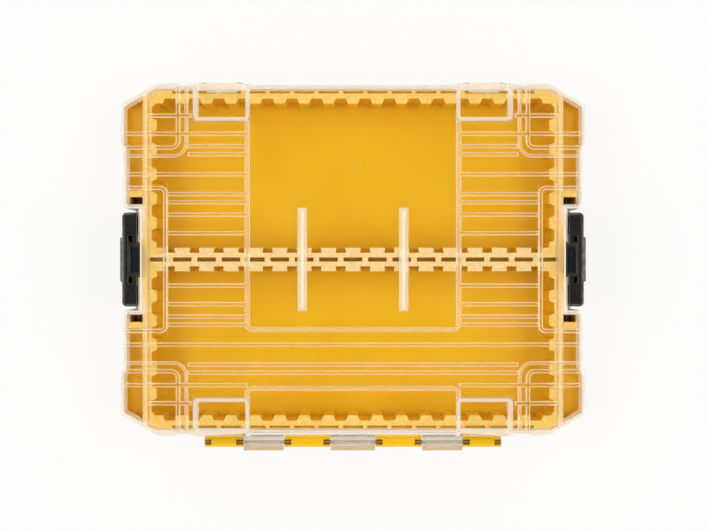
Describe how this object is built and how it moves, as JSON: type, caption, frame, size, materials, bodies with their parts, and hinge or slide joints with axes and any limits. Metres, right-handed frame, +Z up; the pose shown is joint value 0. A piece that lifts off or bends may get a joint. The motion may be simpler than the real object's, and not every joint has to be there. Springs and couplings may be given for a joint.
{
  "type": "tool case",
  "caption": "Flat organiser case with a moulded base, slotted divider walls, a clear ribbed lid on a rear pin hinge, and a swinging latch on each side.",
  "frame": {"origin": "centre of the base's flat underside, on the middle plane between the two latches", "axes": "+X to the right side, +Y to the front edge, +Z up. The hinge is along X at the back"},
  "size_m": [0.263, 0.2081, 0.056],
  "materials": {
    "yellow_plastic": "moulded polypropylene, satin",
    "clear_plastic": "clear polycarbonate",
    "black_plastic": "moulded nylon, fine texture",
    "plated_steel": "drawn rod, dull zinc plating"
  },
  "bodies": {
    "base": {"base_shell": "yellow_plastic", "hinge_pin": "plated_steel", "left_latch_pin": "plated_steel", "right_latch_pin": "plated_steel"},
    "lid": {"clear_lid": "clear_plastic"},
    "left_latch": {"left_latch": "black_plastic"},
    "right_latch": {"right_latch": "black_plastic"}
  },
  "joints": [
    {"name": "lid_hinge", "type": "hinge", "parent": "base", "child": "lid", "pos_m": [0, -0.1032, 0.038], "axis": [1, 0, 0], "range_deg": [0, 180]},
    {"name": "left_latch_pivot", "type": "hinge", "parent": "base", "child": "left_latch", "pos_m": [-0.1239, 0, 0.012], "axis": [0, -1, 0], "range_deg": [0, 90]},
    {"name": "right_latch_pivot", "type": "hinge", "parent": "base", "child": "right_latch", "pos_m": [0.1239, 0, 0.012], "axis": [0, 1, 0], "range_deg": [0, 90]}
  ]
}
